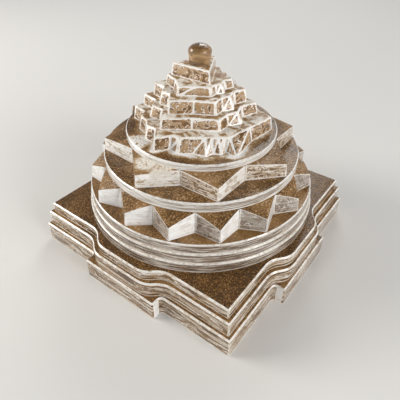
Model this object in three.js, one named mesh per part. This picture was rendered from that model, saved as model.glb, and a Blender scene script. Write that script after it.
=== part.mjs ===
// A shri yantra in its Meru form: a stepped pyramid of clear crystal, cut by hand.
// Sizes are in millimetres. +Z is up, and the origin is the middle of the flat underside.
// The gates face along X and Y. Bearings are in degrees, from -Y towards +X.

import * as THREE from 'three';

// Three square ground steps, each with a gate in the middle of every side
const lower_step_half = 45.0;
const lower_step_height = 8.0;
const middle_step_inset = 1.3;
const middle_step_height = 6.1;
const upper_step_inset = 1.5;
const upper_step_height = 4.1;
const step_edge_bevel = 0.45;

// The gate blocks: half their straight front, how far they stand out, and the hollow and the round
// of their flanks. The lowest is a plain block, and the two above it swell out in a long S.
const lower_gate_half_front = 16.0;
const lower_gate_reach = 4.2;
const lower_gate_fillet = 1.6;
const lower_gate_round = 0.2;
const middle_gate_half_front = 9.0;
const middle_gate_reach = 4.7;
const middle_gate_fillet = 8.7;
const middle_gate_round = 8.2;
const upper_gate_half_front = 7.5;
const upper_gate_reach = 5.1;
const upper_gate_fillet = 8.3;
const upper_gate_round = 7.9;

// Three stacked circles
const circle_ring_radius = 44.2;
const circle_ring_setback = 0.56;
const circle_ring_height = 3.78;
const circle_edge_bevel = 0.35;

// Lotus rings: how deep the petals are cut, and how tall they stand at the tip and at the disc
const sixteen_petal_depth = 5.3;
const sixteen_petal_height = 8.4;
const sixteen_petal_tip_height = 5.1;
const eight_petal_depth = 7.9;
const eight_petal_height = 6.0;
const eight_petal_tip_height = 4.8;
const petal_wall_inset = 0.5;
const petal_tip_margin = 0.1;
const disc_seat_margin = 0.1;

// The plain discs that stand on the petals
const disc_ledge = 0.5;
const sixteen_petal_disc_height = 3.6;
const eight_petal_disc_height = 2.4;

// Star-cut tiers: how far each stands in from the edge of the tier below, and its height
const fourteen_corner_setback = 1.9;
const fourteen_corner_height = 5.2;
const outer_ten_setback = 4.6;
const outer_ten_height = 4.2;
const inner_ten_setback = 4.2;
const inner_ten_height = 4.9;
const eight_corner_setback = 4.8;
const eight_corner_height = 3.4;
const triangle_setback = 2.1;
const triangle_height = 4.7;
const tier_wall_inset = 0.8;
const tier_edge_bevel = 0.3;

// The reach of the points between two long ones, and of the V cuts, as shares of the long points' reach
const short_point_share = 0.89;
const cut_share_many_points = 0.83;
const cut_share_few_points = 0.78;

// The near right long point of each star is ground back at its foot and its head, and may be turned
const fourteen_near_right = { foot: 1, head: 0.83, turn: 5.0 };
const upper_near_right = { foot: 0.89, head: 0.89, turn: 0 };
const triangle_near_right_share = 0.85;

// The six long points start a little short of -Y, and the upper tiers stand a little off the axis
const first_point_bearing = -2.0;
const triangle_turn = 3.0;
const upper_tiers_shift_x = -1.9;
const upper_tiers_shift_y = 1.1;

// The drop on top
const bindu_radius = 4.1;
const bindu_height = 6.8;
const bindu_dome_height = 2.4;
const bindu_foot_draw = 0.35;

// Counts
const sides_of_square = 4;
const sixteen_petals = 16;
const eight_petals = 8;
const long_points = 6;
const near_right_point = 1;
const triangle_corners = 3;
const ring_sides = 128;
const bindu_sides = 64;
const arc_steps = 6;
const petal_flank_steps = 4;
const dome_steps = 9;

// Each piece is drawn from its own underside up
const floor_level = 0;
const quarter_turn = Math.PI / 2;
const full_turn = Math.PI * 2;

// A point in plan at a bearing (radians, from -Y towards +X) and a reach
function at_bearing(bearing, reach) {
  return new THREE.Vector2(reach * Math.sin(bearing), -reach * Math.cos(bearing));
}

// The outline moved inwards by a distance, each corner along its own mitre
function inset_outline(outline, distance) {
  const count = outline.length;
  return outline.map((corner, index) => {
    const before = outline[(index + count - 1) % count];
    const after = outline[(index + 1) % count];
    const edge_in = corner.clone().sub(before).normalize();
    const edge_out = after.clone().sub(corner).normalize();
    const normal_in = new THREE.Vector2(-edge_in.y, edge_in.x);
    const normal_out = new THREE.Vector2(-edge_out.y, edge_out.x);
    const mitre = normal_in.clone().add(normal_out).normalize();
    return corner.clone().addScaledVector(mitre, distance / mitre.dot(normal_out));
  });
}

// A closed body through level or sloping outlines, all with the same number of points
function loft(sections) {
  const count = sections[0].outline.length;
  const positions = [];
  const indices = [];
  for (const section of sections) {
    section.outline.forEach((point, index) => {
      const height = Array.isArray(section.height) ? section.height[index] : section.height;
      positions.push(point.x, point.y, height);
    });
  }
  for (let level = 0; level < sections.length - 1; level += 1) {
    for (let index = 0; index < count; index += 1) {
      const near = level * count + index;
      const far = level * count + ((index + 1) % count);
      indices.push(near, far, far + count);
      indices.push(near, far + count, near + count);
    }
  }
  // Each end is a fan about the axis, which every outline goes round
  const foot_centre = sections.length * count;
  const head_centre = foot_centre + 1;
  const head_start = (sections.length - 1) * count;
  positions.push(0, 0, sections[0].height);
  positions.push(0, 0, sections.at(-1).height);
  for (let index = 0; index < count; index += 1) {
    const next = (index + 1) % count;
    indices.push(foot_centre, next, index);
    indices.push(head_centre, head_start + index, head_start + next);
  }
  const geometry = new THREE.BufferGeometry();
  geometry.setAttribute('position', new THREE.Float32BufferAttribute(positions, 3));
  geometry.setIndex(indices);
  geometry.computeVertexNormals();
  return geometry;
}

// A straight-walled or leaning slab with a bevelled top edge
function bevelled_slab(foot, head, height, bevel) {
  return loft([
    { outline: foot, height: floor_level },
    { outline: head, height: height - bevel },
    { outline: inset_outline(head, bevel), height },
  ]);
}

// One arc of points in plan, without its first point
function arc_points(centre, radius, from_angle, to_angle) {
  const points = [];
  for (let step = 1; step <= arc_steps; step += 1) {
    const angle = from_angle + ((to_angle - from_angle) * step) / arc_steps;
    const spoke = new THREE.Vector2(Math.cos(angle), Math.sin(angle));
    points.push(spoke.multiplyScalar(radius).add(centre));
  }
  return points;
}

// The square outline with a gate on each side. Each flank of a gate is a hollow fillet and a round,
// joined by a straight wall where the reach leaves room for one.
function gated_square(half_side, half_front, reach, fillet, bevelled_round) {
  const round = bevelled_round + step_edge_bevel;
  const turn = Math.acos(Math.max(0, 1 - reach / (fillet + round)));
  const wall = Math.max(0, reach - fillet - round);
  const run = (fillet + round) * Math.sin(turn);
  const flank_start = half_front + run;
  const side = [new THREE.Vector2(half_side, -half_side)];
  side.push(new THREE.Vector2(half_side, -flank_start));
  const fillet_centre = new THREE.Vector2(half_side + fillet, -flank_start);
  side.push(...arc_points(fillet_centre, fillet, Math.PI, Math.PI - turn));
  const round_centre = new THREE.Vector2(half_side + reach - round, -half_front);
  if (wall > 0) {
    side.push(new THREE.Vector2(half_side + fillet + wall, -flank_start + fillet));
  }
  side.push(...arc_points(round_centre, round, -turn, 0));
  const mirrored = side.slice(1).reverse().map((point) => new THREE.Vector2(point.x, -point.y));
  side.push(...mirrored);
  const outline = [];
  for (let index = 0; index < sides_of_square; index += 1) {
    const centre = new THREE.Vector2(0, 0);
    outline.push(...side.map((point) => point.clone().rotateAround(centre, index * quarter_turn)));
  }
  return outline;
}

// A circle as a polygon of points
function circle_outline(radius, sides) {
  const points = [];
  for (let index = 0; index < sides; index += 1) {
    points.push(at_bearing((full_turn * index) / sides, radius));
  }
  return points;
}

// A ring of pointed petals, tips over the corners and the gates. The flanks stand nearly upright,
// and the top is a cone that rises from the tips to a flat seat, a hair wider than the disc above.
function lotus(petals, tip_radius, depth, tip_height, height) {
  const notch_radius = tip_radius - depth;
  const seat_radius = notch_radius - disc_ledge + disc_seat_margin;
  const petal_angle = full_turn / petals;
  const outline = [];
  for (let petal = 0; petal < petals; petal += 1) {
    const tip = at_bearing(petal * petal_angle, tip_radius);
    const notch = at_bearing((petal + 0.5) * petal_angle, notch_radius);
    const next_tip = at_bearing((petal + 1) * petal_angle, tip_radius);
    for (let step = 0; step < petal_flank_steps; step += 1) {
      outline.push(tip.clone().lerp(notch, step / petal_flank_steps));
    }
    for (let step = 0; step < petal_flank_steps; step += 1) {
      outline.push(notch.clone().lerp(next_tip, step / petal_flank_steps));
    }
  }
  const lean = (tip_radius - petal_wall_inset) / tip_radius;
  const head = outline.map((point) => point.clone().multiplyScalar(lean));
  const slope = (height - tip_height) / (tip_radius - petal_wall_inset - seat_radius);
  const head_heights = head.map((point) => height - slope * Math.max(0, point.length() - seat_radius));
  const seat_edge = head.map((point) => point.clone().setLength(seat_radius));
  return loft([
    { outline, height: floor_level },
    { outline: head, height: head_heights },
    { outline: seat_edge, height },
  ]);
}

// How far out the straight line between two points lies at a bearing
function reach_of_line(from, to, bearing) {
  const line = to.clone().sub(from);
  return from.cross(line) / at_bearing(bearing, 1).cross(line);
}

// The bearing of a long point, counted round from the front
function long_point_bearing(point, near_right) {
  const turn = point === near_right_point ? near_right.turn : 0;
  return THREE.MathUtils.degToRad(first_point_bearing + turn) + (full_turn * point) / long_points;
}

// The corners between two long points: short points at given parts of the way from one to the other,
// and a V cut halfway between neighbours
function corners_between(start, end, reach, short_parts, cut_share) {
  const parts = [0, ...short_parts, 1];
  const corners = [];
  for (let part = 1; part < parts.length; part += 1) {
    const cut = (parts[part - 1] + parts[part]) / 2;
    corners.push({ bearing: start + (end - start) * cut, reach: reach * cut_share });
    if (part + 1 < parts.length) {
      corners.push({ bearing: start + (end - start) * parts[part], reach: reach * short_point_share });
    }
  }
  return corners;
}

// A star-cut tier. Its head is the star set in. Between two long points the head runs no further out
// than the straight line that joins them, so the short points slope down from it to the foot.
function star_tier(reach, short_points, cut_share, near_right, height) {
  const foot = [];
  const head = [];
  for (let point = 0; point < long_points; point += 1) {
    const start = long_point_bearing(point, near_right);
    const end = long_point_bearing(point + 1, near_right);
    const foot_share = point === near_right_point ? near_right.foot : 1;
    const head_share = point === near_right_point ? near_right.head : 1;
    const next_head_share = point + 1 === near_right_point ? near_right.head : 1;
    const head_start = at_bearing(start, (reach - tier_wall_inset) * head_share);
    const head_end = at_bearing(end, (reach - tier_wall_inset) * next_head_share);
    foot.push(at_bearing(start, reach * foot_share));
    head.push(head_start);
    const short_parts = short_points[point % short_points.length];
    for (const corner of corners_between(start, end, reach, short_parts, cut_share)) {
      const line_reach = reach_of_line(head_start, head_end, corner.bearing);
      foot.push(at_bearing(corner.bearing, corner.reach));
      head.push(at_bearing(corner.bearing, Math.min(corner.reach - tier_wall_inset, line_reach)));
    }
  }
  return bevelled_slab(foot, head, height, tier_edge_bevel);
}

// The triangle: one long point out of two
function triangle_tier(reach, height) {
  const first_corner = first_point_bearing + triangle_turn;
  const start = THREE.MathUtils.degToRad(first_corner) - full_turn / long_points;
  const foot = [];
  const head = [];
  for (let corner = 0; corner < triangle_corners; corner += 1) {
    const bearing = start + (full_turn * corner) / triangle_corners;
    const share = corner === near_right_point ? triangle_near_right_share : 1;
    foot.push(at_bearing(bearing, reach * share));
    head.push(at_bearing(bearing, (reach - tier_wall_inset) * share));
  }
  return bevelled_slab(foot, head, height, tier_edge_bevel);
}

// The drop: a short drum, drawn in a little at its foot, under a dome
function bindu_solid() {
  const drum_height = bindu_height - bindu_dome_height;
  const profile = [new THREE.Vector2(0, 0), new THREE.Vector2(bindu_radius - bindu_foot_draw, 0)];
  for (let step = 0; step < dome_steps; step += 1) {
    const angle = (quarter_turn * step) / dome_steps;
    const height = drum_height + bindu_dome_height * Math.sin(angle);
    profile.push(new THREE.Vector2(bindu_radius * Math.cos(angle), height));
  }
  profile.push(new THREE.Vector2(0, bindu_height));
  return new THREE.LatheGeometry(profile, bindu_sides).rotateX(quarter_turn);
}

// One tier of the block, set down on the level that the tiers below have reached
const yantra = new THREE.Group();
let level = 0;
const crystal_look = { color: 0xd9c7a8, roughness: 0.15, metalness: 0 };
function add_tier(name, geometry, height, shift_x = 0, shift_y = 0) {
  const tier = new THREE.Mesh(geometry, new THREE.MeshStandardMaterial(crystal_look));
  tier.name = name;
  tier.position.set(shift_x, shift_y, level);
  yantra.add(tier);
  level += height;
}

// Ground steps
function add_step(name, half_side, height, half_front, reach, fillet, round) {
  const outline = gated_square(half_side, half_front, reach, fillet, round);
  add_tier(name, bevelled_slab(outline, outline, height, step_edge_bevel), height);
}
const middle_step_half = lower_step_half - middle_step_inset;
const upper_step_half = middle_step_half - upper_step_inset;
add_step('bhupura_lower_step', lower_step_half, lower_step_height,
  lower_gate_half_front, lower_gate_reach, lower_gate_fillet, lower_gate_round);
add_step('bhupura_middle_step', middle_step_half, middle_step_height,
  middle_gate_half_front, middle_gate_reach, middle_gate_fillet, middle_gate_round);
add_step('bhupura_upper_step', upper_step_half, upper_step_height,
  upper_gate_half_front, upper_gate_reach, upper_gate_fillet, upper_gate_round);

// Circles and discs
function add_disc(name, radius, height) {
  const outline = circle_outline(radius, ring_sides);
  add_tier(name, bevelled_slab(outline, outline, height, circle_edge_bevel), height);
}
let ring_radius = circle_ring_radius;
for (const name of ['outer_circle_ring', 'middle_circle_ring', 'inner_circle_ring']) {
  add_disc(name, ring_radius, circle_ring_height);
  ring_radius -= circle_ring_setback;
}

// Lotus rings, their tips a hair inside the bevelled edge of what they stand on
const sixteen_tip_radius = ring_radius + circle_ring_setback - circle_edge_bevel - petal_tip_margin;
const sixteen_disc_radius = sixteen_tip_radius - sixteen_petal_depth - disc_ledge;
add_tier('sixteen_petal_lotus',
  lotus(sixteen_petals, sixteen_tip_radius, sixteen_petal_depth, sixteen_petal_tip_height,
    sixteen_petal_height),
  sixteen_petal_height);
add_disc('sixteen_petal_circle', sixteen_disc_radius, sixteen_petal_disc_height);

const eight_tip_radius = sixteen_disc_radius - circle_edge_bevel - petal_tip_margin;
const eight_disc_radius = eight_tip_radius - eight_petal_depth - disc_ledge;
add_tier('eight_petal_lotus',
  lotus(eight_petals, eight_tip_radius, eight_petal_depth, eight_petal_tip_height, eight_petal_height),
  eight_petal_height);
add_disc('eight_petal_circle', eight_disc_radius, eight_petal_disc_height);

// Star-cut tiers: the short points between each two long ones, as parts of the way round from the
// one to the next
const fourteen_reach = eight_disc_radius - fourteen_corner_setback;
const outer_ten_reach = fourteen_reach - outer_ten_setback;
const inner_ten_reach = outer_ten_reach - inner_ten_setback;
const eight_reach = inner_ten_reach - eight_corner_setback;
const triangle_reach = eight_reach - triangle_setback;
const none = [];
const one_midway = [0.5];
const two_even = [1 / 3, 2 / 3];
const three_in_front = [0.28, 0.65, 0.85];
const short_points_of_fourteen = [three_in_front, none, one_midway, one_midway, one_midway, two_even];
const short_points_of_ten = [none, one_midway, one_midway];
const short_points_of_eight = [none, one_midway, none];

add_tier('fourteen_corner_tier',
  star_tier(fourteen_reach, short_points_of_fourteen, cut_share_many_points, fourteen_near_right,
    fourteen_corner_height),
  fourteen_corner_height);
function add_upper_tier(name, geometry, height) {
  add_tier(name, geometry, height, upper_tiers_shift_x, upper_tiers_shift_y);
}
add_upper_tier('outer_ten_corner_tier',
  star_tier(outer_ten_reach, short_points_of_ten, cut_share_few_points, upper_near_right,
    outer_ten_height),
  outer_ten_height);
add_upper_tier('inner_ten_corner_tier',
  star_tier(inner_ten_reach, short_points_of_ten, cut_share_few_points, upper_near_right,
    inner_ten_height),
  inner_ten_height);
add_upper_tier('eight_corner_tier',
  star_tier(eight_reach, short_points_of_eight, cut_share_few_points, upper_near_right,
    eight_corner_height),
  eight_corner_height);
add_upper_tier('triangle_tier', triangle_tier(triangle_reach, triangle_height), triangle_height);
add_upper_tier('bindu', bindu_solid(), bindu_height);

export default yantra;
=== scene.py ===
import math
from collections import namedtuple

import bmesh
import bpy
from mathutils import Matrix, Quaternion, Vector


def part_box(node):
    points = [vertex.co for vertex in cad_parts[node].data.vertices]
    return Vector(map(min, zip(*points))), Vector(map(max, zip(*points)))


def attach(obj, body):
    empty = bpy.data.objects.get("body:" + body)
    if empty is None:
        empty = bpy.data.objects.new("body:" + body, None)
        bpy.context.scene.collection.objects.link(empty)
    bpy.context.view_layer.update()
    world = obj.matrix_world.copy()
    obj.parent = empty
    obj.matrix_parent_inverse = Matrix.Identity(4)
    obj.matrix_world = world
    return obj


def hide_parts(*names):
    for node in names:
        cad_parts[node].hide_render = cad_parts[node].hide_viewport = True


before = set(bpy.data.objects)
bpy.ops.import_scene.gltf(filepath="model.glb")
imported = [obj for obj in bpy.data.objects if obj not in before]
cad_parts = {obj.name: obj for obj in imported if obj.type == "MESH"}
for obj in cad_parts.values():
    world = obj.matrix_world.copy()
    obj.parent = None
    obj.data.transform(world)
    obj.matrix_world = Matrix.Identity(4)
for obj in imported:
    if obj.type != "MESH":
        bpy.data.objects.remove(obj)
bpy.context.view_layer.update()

# Lower ground step
# The foot of the crystal block: a square slab with a gate block on each side. It is sawn from the
# block, ground flat on top, and its walls are left frosted by the grinding wheel.
mm = 0.001


def feed(tree, node, sockets):
    """Gives a node's sockets, by name or number, their values or the outputs of other nodes."""
    for key, value in sockets.items():
        if isinstance(value, bpy.types.NodeSocket):
            tree.links.new(value, node.inputs[key])
        else:
            node.inputs[key].default_value = value
    return node


def add_node(tree, kind, sockets):
    """A new node of a kind, with its sockets fed."""
    return feed(tree, tree.nodes.new(kind), sockets)


def maths(tree, operation, *values):
    """A Math node's answer; each value is a number or an output."""
    node = tree.nodes.new("ShaderNodeMath")
    node.operation = operation
    return feed(tree, node, dict(enumerate(values))).outputs[0]


def mix(tree, factor, first, second):
    """A number between two, each of which is a number or an output."""
    return add_node(tree, "ShaderNodeMix", {"Factor": factor, "A": first, "B": second}).outputs["Result"]


def noise(tree, vector, scale, detail, roughness, distortion=0.0):
    """A Noise Texture read at a vector; each setting may be an output."""
    settings = {"Vector": vector, "Scale": scale, "Detail": detail, "Roughness": roughness,
                "Distortion": distortion}
    return add_node(tree, "ShaderNodeTexNoise", settings).outputs["Fac"]


def ramp(tree, value, low, high, to_low=0.0, to_high=1.0):
    """A smooth step from one number to another, while a value goes from low to high."""
    node = tree.nodes.new("ShaderNodeMapRange")
    node.interpolation_type = "SMOOTHSTEP"
    settings = {"Value": value, "From Min": low, "From Max": high, "To Min": to_low, "To Max": to_high}
    return feed(tree, node, settings).outputs["Result"]


def new_group(name, inputs, outputs):
    """A shader node group with named sockets of the kinds given, what it is given, and its end."""
    group = bpy.data.node_groups.new(name, "ShaderNodeTree")
    for in_out, sockets in (("INPUT", inputs), ("OUTPUT", outputs)):
        for label, kind in sockets.items():
            group.interface.new_socket(label, in_out=in_out, socket_type="NodeSocket" + kind)
    given = group.nodes.new("NodeGroupInput").outputs
    return group, given, group.nodes.new("NodeGroupOutput")


def place_group(tree, group, sockets):
    """The outputs of a shared node group placed in a material."""
    node = tree.nodes.new("ShaderNodeGroup")
    node.node_tree = group
    return feed(tree, node, sockets).outputs


def wheel_marks():
    """Fine level lines that the wheel leaves on a wall, with cloudy patches between them, and thin painted
    highlight lines along the patches.
    """
    group, given, end = new_group(
        "wheel_marks",
        {"Position": "Vector", "Lines": "Float", "Patches": "Float", "Drawn Out": "Float",
         "Line Share": "Float", "Swirl": "Float", "Crumble": "Float"},
        {"Frost": "Float", "Glint Lines": "Float", "Height": "Float"},
    )
    far_along = (0.035, 0.035, 1.0)
    level = add_node(group, "ShaderNodeMapping", {"Vector": given["Position"], "Scale": far_along})
    lines = noise(group, level.outputs["Vector"], given["Lines"], detail=3.0, roughness=0.7)
    drawn = add_node(group, "ShaderNodeCombineXYZ",
                     {"X": given["Drawn Out"], "Y": given["Drawn Out"], "Z": 1.0})
    along = group.nodes.new("ShaderNodeVectorMath")
    along.operation = "MULTIPLY"
    feed(group, along, {0: given["Position"], 1: drawn.outputs["Vector"]})
    patches = noise(group, along.outputs["Vector"], given["Patches"], detail=4.0,
                    roughness=given["Crumble"], distortion=given["Swirl"])
    line_part = maths(group, "MULTIPLY", ramp(group, lines, low=0.44, high=0.60), given["Line Share"])
    patch_share = maths(group, "SUBTRACT", 1.0, given["Line Share"])
    frost = maths(group, "MULTIPLY_ADD", ramp(group, patches, low=0.33, high=0.66), patch_share, line_part)
    # Painted highlight lines: thin white curves where the patch noise crosses its middle.
    off_glint_line = maths(group, "ABSOLUTE", maths(group, "SUBTRACT", patches, 0.5))
    glint_lines = ramp(group, off_glint_line, low=0.004, high=0.02, to_low=1.0, to_high=0.0)
    feed(group, end, {"Frost": frost, "Glint Lines": glint_lines, "Height": lines})
    return group


def ground_grain():
    """The grain of a face ground flat by hand: a fine sparkle over slow cloudy patches."""
    group, given, end = new_group(
        "ground_grain",
        {"Position": "Vector", "Grain": "Float", "Clouds": "Float"},
        {"Specks": "Float", "Cloud": "Float", "Height": "Float"},
    )
    grain = noise(group, given["Position"], given["Grain"], detail=3.0, roughness=0.75)
    slow = noise(group, given["Position"], given["Clouds"], detail=3.0, roughness=0.6, distortion=0.6)
    grain_height = 0.25
    feed(group, end, {
        "Specks": ramp(group, grain, low=0.46, high=0.72),
        "Cloud": ramp(group, slow, low=0.36, high=0.66),
        "Height": maths(group, "MULTIPLY_ADD", grain, grain_height, slow),
    })
    return group


def painted_rim_highlight():
    """A painted highlight round a wall's polished middle, standing in for the bright surroundings bent
    through its rounded edges, from the distances in mm to its own four edges.
    """
    group, given, end = new_group(
        "painted_rim_highlight",
        {"Position": "Vector", "Across": "Vector", "Up": "Vector", "Width": "Float", "Wander": "Float"},
        {"Rim Highlight": "Float", "Pillow": "Float"},
    )
    nearest = []
    for direction in ("Across", "Up"):
        edges = add_node(group, "ShaderNodeSeparateXYZ", {"Vector": given[direction]})
        nearest.append(maths(group, "MINIMUM", edges.outputs["X"], edges.outputs["Y"]))
    corner_reach = 0.7
    inward = maths(group, "SMOOTH_MIN", *nearest, corner_reach)
    uneven = noise(group, given["Position"], scale=520.0, detail=3.0, roughness=0.6, distortion=0.5)
    drift = maths(group, "MULTIPLY_ADD", maths(group, "SUBTRACT", uneven, 0.5), given["Wander"], inward)
    share = maths(group, "DIVIDE", drift, given["Width"])
    feed(group, end, {
        "Rim Highlight": ramp(group, share, low=0.8, high=1.2, to_low=1.0, to_high=0.0),
        "Pillow": ramp(group, drift, low=0.0, high=1.4),
    })
    return group


def frost_colour():
    """The look of the skin, from dark honey, painted shade that stands in for the depth behind it, to white
    frost.
    """
    # The dark end is painted shade: it stands in for the honey depth seen through clear crystal.
    painted_depth_brown = (0.105, 0.050, 0.014, 1.0)
    amber_brown = (0.38, 0.20, 0.062, 1.0)
    pale_amber = (0.56, 0.35, 0.16, 1.0)
    frost_cream = (0.90, 0.82, 0.70, 1.0)
    frost_white = (0.94, 0.93, 0.915, 1.0)
    group, given, end = new_group("frost_colour", {"Frost": "Float"}, {"Colour": "Color"})
    steps = add_node(group, "ShaderNodeValToRGB", {"Fac": given["Frost"]})
    band = steps.color_ramp
    band.elements[0].color = painted_depth_brown
    band.elements[1].color = frost_white
    for position, colour in ((0.28, amber_brown), (0.50, pale_amber), (0.74, frost_cream)):
        band.elements.new(position).color = colour
    feed(group, end, {"Colour": steps.outputs["Color"]})
    return group


wheel_group = wheel_marks()
grain_group = ground_grain()
rim_group = painted_rim_highlight()
colour_group = frost_colour()


def read_marks(tree):
    """The marks that a tier's mesh carries, each an output that is 1 where the mark holds."""
    marks = {}
    for mark in ("level_face", "edge_band", "lit_left_flank", "return_wall", "near_seat", "seat"):
        attribute = tree.nodes.new("ShaderNodeAttribute")
        attribute.attribute_name = mark
        marks[mark] = attribute.outputs["Fac"]
    return marks


def read_reach(tree, uv_name):
    """The distances in mm to two edges of a wall, from the UV map that holds them."""
    uv_map = tree.nodes.new("ShaderNodeUVMap")
    uv_map.uv_map = uv_name
    return uv_map.outputs["UV"]


def paint_glints(tree, place, frost, cloud, painted_glints):
    """Frost with painted highlights laid over it as streaky patches, each with a centre, a reach and its own
    frost.
    """
    if not painted_glints:
        return frost
    streaks = noise(tree, place, scale=500.0, detail=3.0, roughness=0.6, distortion=2.0)
    broken = ramp(tree, streaks, low=0.36, high=0.52, to_low=0.35, to_high=1.0)
    raggedness = 0.35
    for centre, reach, glint_frost in painted_glints:
        apart = tree.nodes.new("ShaderNodeVectorMath")
        apart.operation = "DISTANCE"
        feed(tree, apart, {0: place, 1: centre})
        wobble = maths(tree, "MULTIPLY_ADD", cloud, raggedness * reach, apart.outputs["Value"])
        inside = ramp(tree, wobble, low=0.7 * reach, high=1.15 * reach, to_low=1.0, to_high=0.0)
        frost = mix(tree, maths(tree, "MULTIPLY", inside, broken), frost, glint_frost)
    return frost


def crystal(name, wall_base=0.1, wall_frost=0.6, wall_veil=0.12, wall_saturation=0.95, lines=2300.0,
            line_share=0.5, patches=260.0, drawn_out=0.3, swirl=0.8, crumble=0.62, glint_lines=0.0,
            lit_left_flank=0.0, return_frost=0.0, rim=0.8, rim_width=0.5, rim_wander=0.8, top_base=0.05,
            top_specks=0.35, top_clouds=0.2, top_veil=0.6, grain=1700.0, clouds=90.0, fringe=0.0,
            wave=0.4, swell_size=240.0, pillow=0.0, honey=80.0, painted_glints=()):
    """Honey-tinted clear crystal under a skin that is frosted on the walls and ground on the tops.

    Frost goes from 0, where dark honey is painted as shade standing in for the depth, to 1, white. On a
    wall it is wall_base, with wall_frost by the wheel's lines and patches, a weight of painted highlight
    lines on top, a weight of painted light on the petals' left flanks, return_frost on walls that face
    sideways, and a painted highlight rim of strength rim within rim_width mm of the wall's edges, give or
    take rim_wander. On a top it is top_base, with top_specks and top_clouds by the grain, and fringe round
    the tier that stands there. The edge bands and the given spots get painted highlights too. A veil is
    the least share of skin over the clear crystal. The sizes of lines, patches, grain, clouds and swells
    are noise scales per metre; drawn_out under 1 draws the patches out on the level, swirl bends them and
    crumble breaks them up. Wave and pillow are heights in the bump, for the slow swell and for a pane's
    rounded middle. Honey is the tint's density.
    """
    material = bpy.data.materials.new(name)
    material.use_nodes = True
    tree = material.node_tree
    tree.nodes.clear()
    place = tree.nodes.new("ShaderNodeTexCoord").outputs["Object"]
    marks = read_marks(tree)
    wheel = place_group(tree, wheel_group, {
        "Position": place, "Lines": lines, "Patches": patches, "Drawn Out": drawn_out,
        "Line Share": line_share, "Swirl": swirl, "Crumble": crumble,
    })
    ground = place_group(tree, grain_group, {"Position": place, "Grain": grain, "Clouds": clouds})
    rims = place_group(tree, rim_group, {
        "Position": place, "Across": read_reach(tree, "across"), "Up": read_reach(tree, "up"),
        "Width": rim_width, "Wander": rim_wander,
    })

    def by_face(wall, top):
        return mix(tree, marks["level_face"], wall, top)

    wall_part = maths(tree, "MULTIPLY_ADD", wheel["Frost"], wall_frost, wall_base)
    # Painted highlight lines, standing in for light bent inside the crystal.
    wall_part = maths(tree, "MULTIPLY_ADD", wheel["Glint Lines"], glint_lines, wall_part)
    # Painted light: the walls that look left are made lighter, as if lit.
    wall_part = maths(tree, "MULTIPLY_ADD", marks["lit_left_flank"], lit_left_flank, wall_part)
    wall_part = maths(tree, "MULTIPLY_ADD", marks["return_wall"], return_frost, wall_part)
    # Painted highlight: a white rim round each wall's middle stands in for the bright surroundings bent
    # through its rounded edges.
    wall_part = maths(tree, "MAXIMUM", wall_part, maths(tree, "MULTIPLY", rims["Rim Highlight"], rim))
    top_part = maths(tree, "MULTIPLY_ADD", ground["Specks"], top_specks, top_base)
    top_part = maths(tree, "MULTIPLY_ADD", ground["Cloud"], top_clouds, top_part)
    by_seat = ramp(tree, marks["near_seat"], low=0.35, high=0.95, to_low=0.0, to_high=fringe)
    least_fringe = 0.4
    fringe_part = maths(tree, "ADD", ground["Cloud"], least_fringe)
    top_part = maths(tree, "MULTIPLY_ADD", by_seat, fringe_part, top_part)
    frost = paint_glints(tree, place, by_face(wall_part, top_part), ground["Cloud"], painted_glints)
    # Painted highlight on the edge bands, broken up by noise.
    glint_breakup = noise(tree, place, scale=700.0, detail=2.0, roughness=0.6)
    edge_glint = ramp(tree, glint_breakup, low=0.3, high=0.6, to_low=0.63, to_high=0.9)
    frost = maths(tree, "MAXIMUM", frost, maths(tree, "MULTIPLY", marks["edge_band"], edge_glint))
    frost = maths(tree, "MINIMUM", frost, 1.0)
    veil = by_face(wall_veil, top_veil)
    skin_share = maths(tree, "MULTIPLY_ADD", maths(tree, "SUBTRACT", 1.0, veil), frost, veil)
    skin_colour = add_node(tree, "ShaderNodeHueSaturation", {
        "Saturation": by_face(wall_saturation, 1.0),
        "Color": place_group(tree, colour_group, {"Frost": frost})["Colour"],
    })

    relief = by_face(wheel["Height"], ground["Height"])
    swell = noise(tree, place, scale=swell_size, detail=2.0, roughness=0.5)
    relief = maths(tree, "MULTIPLY_ADD", swell, wave, relief)
    relief = maths(tree, "MULTIPLY_ADD", rims["Pillow"], pillow, relief)
    bump = add_node(tree, "ShaderNodeBump", {"Distance": 0.25 * mm, "Strength": 0.6, "Height": relief})

    crystal_ior = 1.54
    clear = add_node(tree, "ShaderNodeBsdfPrincipled", {
        "Base Color": (1.0, 0.985, 0.96, 1.0), "Roughness": 0.03, "IOR": crystal_ior,
        "Transmission Weight": 1.0, "Normal": bump.outputs["Normal"],
    })
    frosted = add_node(tree, "ShaderNodeBsdfPrincipled", {
        "Base Color": skin_colour.outputs["Color"], "IOR": crystal_ior, "Specular IOR Level": 0.3,
        "Roughness": by_face(0.35, 0.6), "Coat Weight": by_face(0.9, 0.0), "Coat Roughness": 0.05,
        "Normal": bump.outputs["Normal"],
    })
    skin = add_node(tree, "ShaderNodeMixShader",
                    {"Fac": skin_share, 1: clear.outputs["BSDF"], 2: frosted.outputs["BSDF"]})
    see_through = tree.nodes.new("ShaderNodeBsdfTransparent")
    bonded = add_node(tree, "ShaderNodeMixShader",
                      {"Fac": marks["seat"], 1: skin.outputs["Shader"], 2: see_through.outputs["BSDF"]})
    honey_tint = (0.64, 0.42, 0.02, 1.0)
    tint = add_node(tree, "ShaderNodeVolumeAbsorption", {"Color": honey_tint, "Density": honey})
    add_node(tree, "ShaderNodeOutputMaterial",
             {"Surface": bonded.outputs["Shader"], "Volume": tint.outputs["Volume"]})
    return material


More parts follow.
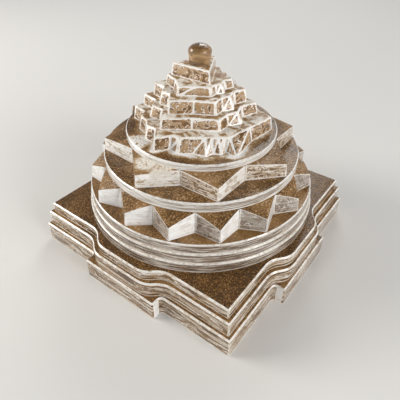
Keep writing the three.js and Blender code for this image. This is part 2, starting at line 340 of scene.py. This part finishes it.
def cut_copy(node_name):
    """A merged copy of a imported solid, its flat faces whole again."""
    bm = bmesh.new()
    bm.from_mesh(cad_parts[node_name].data)
    bmesh.ops.remove_doubles(bm, verts=bm.verts, dist=0.001 * mm)
    flat_within = math.radians(0.4)
    bmesh.ops.dissolve_limit(
        bm, angle_limit=flat_within, use_dissolve_boundaries=False, verts=bm.verts, edges=bm.edges
    )
    bm.normal_update()
    return bm


tallest_bevel = 0.5 * mm


def leans_as_bevel(face):
    """Whether a face leans inward at about 45 degrees, as the bevel round a head does."""
    return 0.6 < face.normal.z < 0.8


def mark_faces(bm):
    """Marks the level and gently sloping faces, and the bevel round the head as a band for a painted edge
    highlight.
    """
    level_face = bm.faces.layers.float.new("level_face")
    edge_band = bm.faces.layers.float.new("edge_band")
    least_level = 0.83
    for face in bm.faces:
        heights = [vert.co.z for vert in face.verts]
        low_band = max(heights) - min(heights) < tallest_bevel
        face[edge_band] = float(leans_as_bevel(face) and low_band)
        face[level_face] = float(abs(face.normal.z) > least_level)


def stands(face, most_lean=0.8):
    """Whether a face stands rather than lies: how far its normal turns up or down is its lean."""
    return abs(face.normal.z) < most_lean


def ease_corners(bm, size, edge_glint, whole_cuts=False):
    """Rounds the upright corners and marks them for a painted edge highlight; whole cuts keep their inner
    corners sharp.
    """
    least_rise = 0.8
    sharp_turn = math.radians(25)
    corners = []
    for edge in bm.edges:
        rise = abs(edge.verts[0].co.z - edge.verts[1].co.z) / edge.calc_length()
        upright_corner = rise >= least_rise and edge.calc_face_angle(0.0) > sharp_turn
        if upright_corner and (edge.is_convex or not whole_cuts):
            corners.append(edge)
    if not corners:
        return
    eased = bmesh.ops.bevel(
        bm, geom=corners, offset=size, offset_type="OFFSET", segments=2, profile=0.5, affect="EDGES",
        clamp_overlap=True, material=-1
    )
    edge_band = bm.faces.layers.float["edge_band"]
    level_face = bm.faces.layers.float["level_face"]
    for face in eased["faces"]:
        if stands(face):
            face[edge_band] = edge_glint
            face[level_face] = 0.0


height_slack = 0.02 * mm


def level_at(bm, height, facing):
    """The flat faces at a height that face up (1) or down (-1)."""
    level = [face for face in bm.faces if abs(face.calc_center_median().z - height) < height_slack]
    return [face for face in level if face.normal.z * facing > 0.99]


far_from_edges = 50.0


def reach_layers(bm):
    """Two new UV maps for the distances in mm to a wall's four edges, all far until measured."""
    across = bm.loops.layers.uv.new("across")
    up = bm.loops.layers.uv.new("up")
    for face in bm.faces:
        for corner in face.loops:
            corner[across].uv = (far_from_edges, far_from_edges)
            corner[up].uv = (far_from_edges, far_from_edges)
    return across, up


def plain_walls(bm):
    """The upright faces between the worn edges."""
    edge_band = bm.faces.layers.float["edge_band"]
    return [face for face in bm.faces if stands(face, most_lean=0.5) and face[edge_band] <= 0.5]


def mark_flanks(bm):
    """Marks the walls that look left, as seen from the block's middle, for painted light, and those that
    face sideways.
    """
    lit_left_flank = bm.faces.layers.float.new("lit_left_flank")
    return_wall = bm.faces.layers.float.new("return_wall")
    for face in plain_walls(bm):
        centre = face.calc_center_median()
        outward = Vector((centre.x, centre.y, 0)).normalized()
        face[lit_left_flank] = float(outward.cross(face.normal).z > 0)
        face[return_wall] = float(abs(outward.dot(face.normal)) < 0.5)


Side = namedtuple("Side", "start along length walked total")


def foot_sides(bm, foot):
    """The sides of a foot's outline, with the way walked from the last corner and to the next."""
    (underside,) = level_at(bm, foot, -1)
    walls = set(plain_walls(bm))
    runs, run = [], []
    for loop in underside.loops:
        if loop.link_loop_radial_next.face in walls:
            run.append((loop.vert.co.copy(), loop.link_loop_next.vert.co.copy()))
        else:
            runs.append(run)
            run = []
    has_corners = bool(runs)
    runs = [run + runs[0], *runs[1:]] if has_corners else [run]
    sides = []
    for run in runs:
        total = sum((end - start).length for start, end in run)
        walked = 0.0
        for start, end in run:
            length = (end - start).length
            sides.append(Side(start, (end - start).normalized(), length, walked, total))
            walked += length
    return sides, has_corners


def gap_to_side(face, side):
    """How far a wall lies from a side of the foot, and more if it isn't along it."""
    centre = face.calc_center_median()
    along = face.normal.cross(Vector((0, 0, 1))).normalized()
    flat = Vector((centre.x - side.start.x, centre.y - side.start.y, 0))
    reach = min(max(flat.dot(side.along), 0), side.length)
    turned = 1 - abs(side.along.dot(along))
    cost_of_turn = 5 * mm
    return (flat - side.along * reach).length + cost_of_turn * turned


def measure_walls(bm, foot):
    """Writes how far each wall's points lie from its own ends, and from its foot and its head, in mm.

    A head may slope, so each point that isn't by the foot counts as a point of the head.
    """
    across, up = reach_layers(bm)
    sides, has_corners = foot_sides(bm, foot)
    by_foot = 0.3
    for face in plain_walls(bm):
        side = min(sides, key=lambda one: gap_to_side(face, one))
        top = max(vert.co.z for vert in face.verts)
        for corner in face.loops:
            height = corner.vert.co.z - foot
            reach = side.walked + (corner.vert.co - side.start).dot(side.along)
            if has_corners:
                corner[across].uv = (reach / mm, (side.total - reach) / mm)
            below_head = top - corner.vert.co.z if height < by_foot * (top - foot) else 0.0
            corner[up].uv = (height / mm, below_head / mm)


def footprint(node_name):
    """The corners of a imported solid's underside, in order."""
    bm = cut_copy(node_name)
    (face,) = level_at(bm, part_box(node_name)[0].z, -1)
    corners = [vert.co.copy() for vert in face.verts]
    bm.free()
    return corners


def open_seat(bm, height, carried):
    """Cuts the carried tier's footprint into the level face at a height, as a patch of its own."""
    level_face = bm.faces.layers.float["level_face"]
    seat = bm.faces.layers.float["seat"]
    near_seat = bm.verts.layers.float.new("near_seat")
    for face in level_at(bm, height, 1):
        rim = list(face.edges)
        bmesh.ops.delete(bm, geom=[face], context="FACES_ONLY")
        outline = [bm.verts.new((corner.x, corner.y, height)) for corner in footprint(carried)]
        for corner in outline:
            corner[near_seat] = 1.0
        joint = [bm.edges.new(pair) for pair in zip(outline, outline[1:] + outline[:1])]
        margin = bmesh.ops.triangle_fill(bm, use_beauty=True, use_dissolve=False, edges=rim + joint)
        for piece in margin["geom"]:
            if isinstance(piece, bmesh.types.BMFace):
                piece[level_face] = 1.0
        patch = bm.faces.new(outline)
        patch[seat] = 1.0


def add_tier(bm, name, material, carried=None, grounded=False):
    """Bonds a tier to those it stands on and carries, and puts it in the scene as its own piece."""
    low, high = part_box(name)
    bond_gap = 0.01 * mm
    seat = bm.faces.layers.float.new("seat")
    if carried:
        open_seat(bm, high.z, carried)
    if not grounded:
        for face in level_at(bm, low.z, -1):
            face[seat] = 1.0
            for vert in face.verts:
                vert.co.z += bond_gap
    bmesh.ops.recalc_face_normals(bm, faces=bm.faces)
    for face in bm.faces:
        face.smooth = True
    mesh = bpy.data.meshes.new(name + "_crystal")
    bm.to_mesh(mesh)
    bm.free()
    soft_turn = math.radians(22)
    mesh.set_sharp_from_angle(angle=soft_turn)
    mesh.materials.append(material)
    tier = bpy.data.objects.new(name + "_crystal", mesh)
    bpy.context.scene.collection.objects.link(tier)
    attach(tier, "root")
    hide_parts(name)


def walled_tier(name, material, carried, grounded=False):
    """A tier with plain walls and lightly eased corners."""
    bm = cut_copy(name)
    mark_faces(bm)
    ease_corners(bm, 0.15 * mm, edge_glint=0.7)
    mark_flanks(bm)
    measure_walls(bm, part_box(name)[0].z)
    add_tier(bm, name, material, carried, grounded)


step_look = dict(wall_base=0.16, wall_frost=0.62, lines=1500.0, line_share=0.45, patches=420.0, swirl=1.2,
                 glint_lines=0.45, rim_width=0.35)
lower_step = crystal("lower_step_crystal", drawn_out=0.2, return_frost=0.6, top_base=0.10, top_veil=0.5,
                     **step_look)
walled_tier("bhupura_lower_step", lower_step, "bhupura_middle_step", grounded=True)

# Middle ground step
# The second square slab of the same block, cut a little further in and ground flat on top. Its
# gates swell out of the walls in a long S.
middle_step = crystal("middle_step_crystal", drawn_out=0.14, top_base=0.10, top_veil=0.5, **step_look)
walled_tier("bhupura_middle_step", middle_step, "bhupura_upper_step")

# Upper ground step
# The third square slab, with the widest top of the three. The top is ground flat by hand, and under
# its fine grain the dark honey of the depth is partly seen through clear crystal and partly painted shade.
upper_step = crystal("upper_step_crystal", drawn_out=0.14, top_base=-0.02, top_specks=0.42, top_clouds=0.1,
                     top_veil=0.65, grain=2000.0, **step_look)
walled_tier("bhupura_upper_step", upper_step, "outer_circle_ring")

# The three circles
# Three round steps of the block, each set in a little. The wheel went round them on a level, and
# left its fine lines; only their edges are bright, with a painted highlight.
ring_look = dict(wall_base=0.26, wall_frost=0.50, wall_saturation=0.6, lines=2600.0, line_share=0.8,
                 patches=900.0, drawn_out=0.06, rim=0.7, rim_width=0.3, rim_wander=0.4)
for ring, carried, top_base in (("outer", "middle_circle_ring", 0.55), ("middle", "inner_circle_ring", 0.55),
                                ("inner", "sixteen_petal_lotus", 0.10)):
    ring_crystal = crystal(ring + "_ring_crystal", top_base=top_base, **ring_look)
    walled_tier(ring + "_circle_ring", ring_crystal, carried)

# Sixteen-petal lotus
# A ring of sixteen petals cut into the block with the edge of the wheel. Each petal's left flank is
# made lighter as painted light, its right flank stays grey, and its top slopes up to the disc.
sixteen_petals = crystal("sixteen_petal_crystal", wall_base=0.36, wall_frost=0.3, wall_saturation=0.5,
                         patches=420.0, drawn_out=0.8, glint_lines=0.25, lit_left_flank=0.4, rim_width=0.3,
                         top_base=0.06, top_specks=0.5, top_veil=0.5, honey=100.0)
walled_tier("sixteen_petal_lotus", sixteen_petals, "sixteen_petal_circle")

# The disc on the sixteen petals
# A plain round step of the block. Its wall is frosted almost white by the wheel, and its top is
# ground flat.
disc_look = dict(wall_base=0.42, wall_saturation=0.5, drawn_out=0.12)
sixteen_disc = crystal("sixteen_circle_crystal", top_base=0.04, top_specks=0.5, top_veil=0.5, honey=100.0,
                       **disc_look)
walled_tier("sixteen_petal_circle", sixteen_disc, "eight_petal_lotus")

# Eight-petal lotus
# Eight longer petals, cut deeper into the block. Their flanks are polished in the middle, with painted
# highlight lines, and frosted round it under a painted highlight rim; the left flanks get painted light.
# Two painted highlights lie side by side at the front.
under_petal_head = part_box("eight_petal_lotus")[1].z - 0.74 * mm
# Two painted highlights on the front petals.
front_glints = [((-1.0 * mm, -29.0 * mm, under_petal_head), 6.5 * mm, 0.85),
                 ((5.5 * mm, -29.0 * mm, under_petal_head), 5.0 * mm, 0.80)]
eight_petals = crystal("eight_petal_crystal", wall_base=0.30, patches=420.0, drawn_out=0.6, swirl=1.6,
                       glint_lines=0.4, lit_left_flank=0.25, rim=0.85, rim_width=0.4, top_base=0.08,
                       top_specks=0.45, top_clouds=0.25, top_veil=0.5, honey=120.0, painted_glints=front_glints)
walled_tier("eight_petal_lotus", eight_petals, "eight_petal_circle")

# The disc on the eight petals
# A thin round step of the block, its wall frosted and its top ground. A white fringe lies round the
# foot of the star that it carries, and one painted highlight at the left of the front.
disc_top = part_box("eight_petal_circle")[1].z
# A painted highlight on the disc's top at the left of the front.
left_glint = [((-10.0 * mm, -25.5 * mm, disc_top), 6.4 * mm, 1.0)]
eight_disc = crystal("eight_circle_crystal", top_base=0.06, top_veil=0.45, fringe=0.65, honey=120.0,
                     painted_glints=left_glint, **disc_look)
walled_tier("eight_petal_circle", eight_disc, "fourteen_corner_tier")

# Fourteen-corner tier
# The lowest star of the block. Each V cut is polished to a window in the middle, its honey partly
# painted shade, inside a painted highlight rim; the points between the cuts carry a painted white highlight.


def part_bevel(bm, head):
    """Parts the bevel round a head from a facet that runs on down in the bevel's own plane."""
    leaning = [face for face in bm.faces if leans_as_bevel(face)]
    bevel = [face for face in leaning if max(vert.co.z for vert in face.verts) > head - height_slack]
    lowest = {face: min(vert.co.z for vert in face.verts) for face in bevel}
    bevel_foot = max(lowest.values())
    for face in [one for one in bevel if lowest[one] < bevel_foot - tallest_bevel]:
        bmesh.ops.bisect_plane(
            bm, geom=[face, *face.edges, *face.verts], dist=0.001 * mm, plane_co=(0, 0, bevel_foot),
            plane_no=(0, 0, 1)
        )


def flat_panes(bm):
    """The star's facets gathered into flat panes, each a list that starts with its leading facet."""
    edge_band = bm.faces.layers.float["edge_band"]
    pane_turn = math.radians(9)
    loose = {face for face in bm.faces if stands(face) and face[edge_band] < 0.5}
    panes = []
    for seed in bm.faces:
        if seed not in loose:
            continue
        loose.discard(seed)
        pane = [seed]
        for face in pane:
            for edge in face.edges:
                for other in edge.link_faces:
                    if other in loose and other.normal.angle(seed.normal) < pane_turn:
                        loose.discard(other)
                        pane.append(other)
        panes.append(pane)
    return panes


def pane_borders(pane):
    """The lines round a pane, sorted to its left, right, foot and head, each with its way inward."""
    facing = pane[0].normal
    centre = sum((face.calc_center_median() * face.calc_area() for face in pane), Vector())
    centre /= sum(face.calc_area() for face in pane)
    rightward = Vector((0, 0, 1)).cross(facing).normalized()
    borders = {"left": [], "right": [], "foot": [], "head": []}
    shortest_border = 0.25 * mm
    least_tilt_of_side = 0.35
    for face in pane:
        for edge in face.edges:
            inner = sum(other in pane for other in edge.link_faces) > 1
            if inner or edge.calc_length() < shortest_border:
                continue
            start, end = (vert.co.copy() for vert in edge.verts)
            inward = facing.cross((end - start).normalized())
            if inward.dot(centre - start) < 0:
                inward.negate()
            sideways = inward.dot(rightward)
            if abs(sideways) > least_tilt_of_side:
                borders["left" if sideways > 0 else "right"].append((start, inward))
            else:
                borders["foot" if inward.z > 0 else "head"].append((start, inward))
    return borders


def measure_panes(bm):
    """Writes how far each pane's points lie from its two sides, its foot and its head, in mm."""
    across, up = reach_layers(bm)
    for pane in flat_panes(bm):
        borders = pane_borders(pane)
        for face in pane:
            for corner in face.loops:
                reach = {}
                for border, lines in borders.items():
                    gaps = [(corner.vert.co - start).dot(inward) / mm for start, inward in lines]
                    reach[border] = min(gaps, default=far_from_edges)
                corner[across].uv = (reach["left"], reach["right"])
                corner[up].uv = (reach["foot"], reach["head"])


def star_tier(name, material, carried, whole_cuts=False):
    """A tier of flat panes, each with a polished window of partly painted honey inside a painted highlight
    rim, between posts with a painted highlight.
    """
    bm = cut_copy(name)
    part_bevel(bm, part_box(name)[1].z)
    mark_faces(bm)
    ease_corners(bm, 0.3 * mm, edge_glint=1.0, whole_cuts=whole_cuts)
    measure_panes(bm)
    add_tier(bm, name, material, carried)


star_look = dict(wall_base=0.16, wall_frost=0.42, wall_veil=0.5, wall_saturation=1.0, lines=900.0,
                 line_share=0.15, patches=420.0, drawn_out=0.8, swirl=1.4, crumble=0.5, glint_lines=0.7,
                 rim=0.95, rim_width=0.40, rim_wander=1.3, top_base=0.30, top_specks=0.2, top_clouds=0.6,
                 top_veil=0.5, clouds=300.0, wave=1.6, swell_size=420.0, pillow=2.2)
fourteen = crystal("fourteen_crystal", honey=60.0, **star_look)
star_tier("fourteen_corner_tier", fourteen, "outer_ten_corner_tier", whole_cuts=True)

# The two ten-corner tiers
# Two stars of the block with shallower cuts, each a little smaller than the one below. Every pane
# is polished to a window, its honey partly painted shade, inside a painted highlight rim, with posts
# between that carry a painted white highlight.
for star, carried in (("outer", "inner_ten_corner_tier"), ("inner", "eight_corner_tier")):
    ten = crystal(star + "_ten_crystal", honey=60.0, **star_look)
    star_tier(star + "_ten_corner_tier", ten, carried)

# Eight-corner tier
# The smallest star of the block, and the least tall, under the triangle. It is cut and polished
# like the stars below it.
eight = crystal("eight_crystal", honey=70.0, **star_look)
star_tier("eight_corner_tier", eight, "triangle_tier")

# Triangle tier
# The three-sided step of the block that carries the drop. Its walls are plain, each one polished to
# a window of partly painted dark honey under a painted edge highlight.
triangle = crystal("triangle_crystal", honey=80.0, **star_look)
star_tier("triangle_tier", triangle, "bindu")

# Bindu
# The drop on top: a short drum under a low dome. It is turned out of the tip of the block and
# polished.
bindu = crystal("bindu_crystal", wall_frost=0.45, wall_veil=0.25, wall_saturation=1.0, line_share=0.15,
                patches=420.0, drawn_out=0.5, rim=0.0, honey=230.0)
add_tier(cut_copy("bindu"), "bindu", bindu)

# Floor, air and lamps
# A plain pale floor, matt, under air that is brightest near the horizon. Three soft boxes stand
# round it: one at the right, a stronger one at the left and a weak one behind.
floor_drop = 0.05 * mm
floor_bm = bmesh.new()
bmesh.ops.create_grid(floor_bm, x_segments=1, y_segments=1, size=3.0)
bmesh.ops.translate(floor_bm, verts=floor_bm.verts, vec=(0, 0, -floor_drop))
floor_mesh = bpy.data.meshes.new("floor")
floor_bm.to_mesh(floor_mesh)
floor_bm.free()
floor = bpy.data.objects.new("floor", floor_mesh)
bpy.context.scene.collection.objects.link(floor)
pale_floor = bpy.data.materials.new("pale_floor")
pale_floor.use_nodes = True
feed(pale_floor.node_tree, pale_floor.node_tree.nodes["Principled BSDF"],
     {"Base Color": (0.78, 0.77, 0.75, 1.0), "Roughness": 0.8})
floor_mesh.materials.append(pale_floor)

world = bpy.data.worlds.new("studio_air")
world.use_nodes = True
air = world.node_tree
way = air.nodes.new("ShaderNodeTexCoord").outputs["Generated"]
upward = add_node(air, "ShaderNodeSeparateXYZ", {"Vector": way})
air_strength = ramp(air, upward.outputs["Z"], low=0.12, high=0.60, to_low=0.92, to_high=0.18)
feed(air, air.nodes["Background"], {"Color": (0.97, 0.98, 1.0, 1.0), "Strength": air_strength})
bpy.context.scene.world = world


def softbox(name, place, size, power, colour):
    """A soft box that is aimed at the middle of the block."""
    lamp = bpy.data.lights.new(name, "AREA")
    lamp.shape = "RECTANGLE"
    lamp.size, lamp.size_y = size
    lamp.energy = power
    lamp.color = colour
    box = bpy.data.objects.new(name, lamp)
    box.location = place
    aim = Vector((0, 0, 0.03))
    box.rotation_euler = (aim - box.location).to_track_quat("-Z", "Y").to_euler()
    bpy.context.scene.collection.objects.link(box)


softbox("right_softbox", (0.6, -0.05, 0.3), size=(0.35, 0.3), power=2.6, colour=(1.0, 0.98, 0.95))
softbox("left_softbox", (-0.52, -0.32, 0.28), size=(0.35, 0.3), power=3.4, colour=(1.0, 0.97, 0.92))
softbox("back_softbox", (-0.25, 0.55, 0.5), size=(0.3, 0.3), power=1.3, colour=(1.0, 0.98, 0.95))

# Camera
# It stands where the photograph was taken from, about 36 degrees to the right of the front and 36
# degrees up, close to the block and rolled a little.
look_at = Vector((0.0, 0.0, 0.0260))
azimuth = math.radians(36.406)
elevation = math.radians(35.533)
roll = math.radians(0.722)
distance = 0.1686
level = math.cos(elevation)
back = Vector((math.sin(azimuth) * level, -math.cos(azimuth) * level, math.sin(elevation)))
lens = bpy.data.cameras.new("photo_camera")
lens.sensor_width = 36.0
lens.lens = 37.365
lens.shift_x = -0.0025
lens.shift_y = -0.061
lens.clip_start = 0.005
lens.clip_end = 20.0
camera = bpy.data.objects.new("photo_camera", lens)
camera.location = look_at + back * distance
camera.rotation_mode = "QUATERNION"
camera.rotation_quaternion = (-back).to_track_quat("-Z", "Y") @ Quaternion((0, 0, 1), roll)
bpy.context.scene.collection.objects.link(camera)
bpy.context.scene.camera = camera

# Light crosses many tiers on its way through the block, so its paths are long.
scene = bpy.context.scene
scene.view_settings.view_transform = "Standard"
scene.cycles.max_bounces = 32
scene.cycles.transmission_bounces = 32
scene.cycles.glossy_bounces = 16
scene.cycles.diffuse_bounces = 6
scene.cycles.transparent_max_bounces = 80
